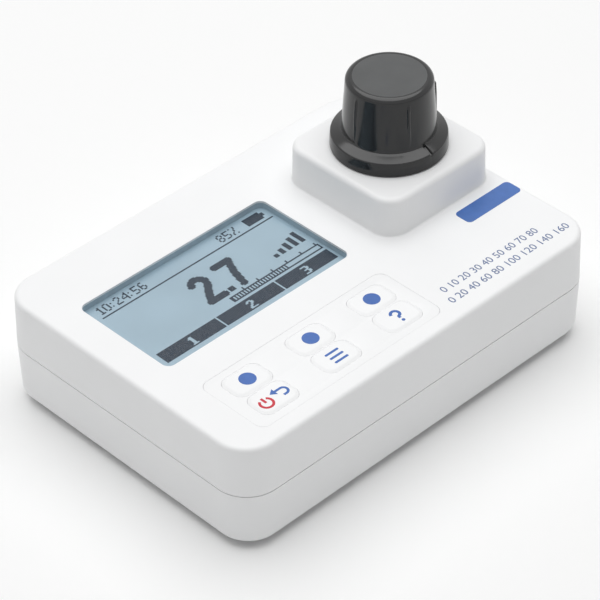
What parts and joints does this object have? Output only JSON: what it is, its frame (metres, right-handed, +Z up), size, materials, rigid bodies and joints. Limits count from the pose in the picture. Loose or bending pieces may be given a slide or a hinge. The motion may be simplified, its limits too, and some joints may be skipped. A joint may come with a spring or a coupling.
{
  "type": "portable photometer",
  "caption": "Portable photometer: flat two-shell case with display, keypad and a turret whose sample well holds a capped glass cuvette.",
  "frame": {"origin": "centre of the case's footprint, on the plane that the feet stand on", "axes": "+X along the display's reading direction, +Y to the back, +Z up"},
  "size_m": [0.1424, 0.1024, 0.0745],
  "materials": {
    "case_white": "satin moulded ABS",
    "seal_grey": "matte",
    "seal_black": "matte",
    "screw_steel": "satin",
    "foot_rubber": "matte",
    "window_clear": "clear polished",
    "display_panel": "satin",
    "light_guide": "frosted",
    "frame_white": "satin",
    "overlay_white": "satin polyester",
    "key_white": "satin polyester",
    "circuit_green": "solder mask",
    "spring_steel": "bright",
    "contact_nickel": "nickel plated",
    "part_black": "matte",
    "holder_black": "matte, light tight",
    "lamp_clear": "clear epoxy",
    "lens_glass": "polished",
    "filter_glass": "coated",
    "detector_metal": "satin",
    "cell_sleeve": "gloss sleeve",
    "cuvette_glass": "clear",
    "stopper_plastic": "translucent polyethylene",
    "cap_black": "satin moulded"
  },
  "bodies": {
    "housing": {"backlight_guide": "light_guide", "base_case": "case_white", "battery_cell_1": "cell_sleeve", "battery_cell_2": "cell_sleeve", "battery_cell_3": "cell_sleeve", "battery_leaves": "contact_nickel", "battery_plates": "contact_nickel", "beam_splitter": "lens_glass", "board_components": "part_black", "board_screws": "screw_steel", "buzzer": "part_black", "case_gasket": "seal_grey", "case_screws": "screw_steel", "cell_holder": "holder_black", "cell_spring": "spring_steel", "clock_cell": "contact_nickel", "detector_board": "circuit_green", "detector_lens": "lens_glass", "display_frame": "frame_white", "display_glass": "display_panel", "display_strip": "seal_grey", "display_window": "window_clear", "filter_spacer": "holder_black", "foot_back_left": "foot_rubber", "foot_back_right": "foot_rubber", "foot_front_left": "foot_rubber", "foot_front_right": "foot_rubber", "holder_screws": "screw_steel", "interference_filter": "filter_glass", "keypad_board": "circuit_green", "keypad_header": "part_black", "keypad_overlay": "overlay_white", "keypad_screws": "screw_steel", "lamp_board": "circuit_green", "lamp_led": "lamp_clear", "lamp_lens": "lens_glass", "lamp_plug": "holder_black", "main_board": "circuit_green", "microcontroller": "part_black", "reference_detector": "detector_metal", "signal_detector": "detector_metal", "snap_domes": "spring_steel", "top_case": "case_white", "well_seal": "seal_black"},
    "battery_cover": {"battery_cover": "case_white", "battery_gasket": "seal_grey", "cover_screws": "screw_steel"},
    "cuvette": {"cuvette": "cuvette_glass"},
    "stopper": {"stopper": "stopper_plastic"},
    "cuvette_cap": {"cuvette_cap": "cap_black"},
    "key_left": {"key_left": "key_white"},
    "key_middle": {"key_middle": "key_white"},
    "key_right": {"key_right": "key_white"},
    "key_power": {"key_power": "key_white"},
    "key_menu": {"key_menu": "key_white"},
    "key_help": {"key_help": "key_white"}
  },
  "joints": [
    {"name": "cuvette_lift", "type": "slide", "parent": "housing", "child": "cuvette", "axis": [0, 0, 1], "range_m": [0, 0.06]},
    {"name": "cap_lift", "type": "slide", "parent": "cuvette", "child": "cuvette_cap", "axis": [0, 0, 1], "range_m": [0, 0.03]},
    {"name": "stopper_lift", "type": "slide", "parent": "cuvette", "child": "stopper", "axis": [0, 0, 1], "range_m": [0, 0.013]},
    {"name": "battery_cover_removal", "type": "slide", "parent": "housing", "child": "battery_cover", "axis": [0, 0, -1], "range_m": [0, 0.02]},
    {"name": "key_left_press", "type": "slide", "parent": "housing", "child": "key_left", "axis": [0, 0, -1], "range_m": [0, 0.0006], "stiffness_N_per_m": 2500},
    {"name": "key_middle_press", "type": "slide", "parent": "housing", "child": "key_middle", "axis": [0, 0, -1], "range_m": [0, 0.0006], "stiffness_N_per_m": 2500},
    {"name": "key_right_press", "type": "slide", "parent": "housing", "child": "key_right", "axis": [0, 0, -1], "range_m": [0, 0.0006], "stiffness_N_per_m": 2500},
    {"name": "key_power_press", "type": "slide", "parent": "housing", "child": "key_power", "axis": [0, 0, -1], "range_m": [0, 0.0006], "stiffness_N_per_m": 2500},
    {"name": "key_menu_press", "type": "slide", "parent": "housing", "child": "key_menu", "axis": [0, 0, -1], "range_m": [0, 0.0006], "stiffness_N_per_m": 2500},
    {"name": "key_help_press", "type": "slide", "parent": "housing", "child": "key_help", "axis": [0, 0, -1], "range_m": [0, 0.0006], "stiffness_N_per_m": 2500}
  ],
  "couplings": [
    {"joint": "stopper_lift", "follows": "cap_lift", "ratio": 0.4}
  ]
}
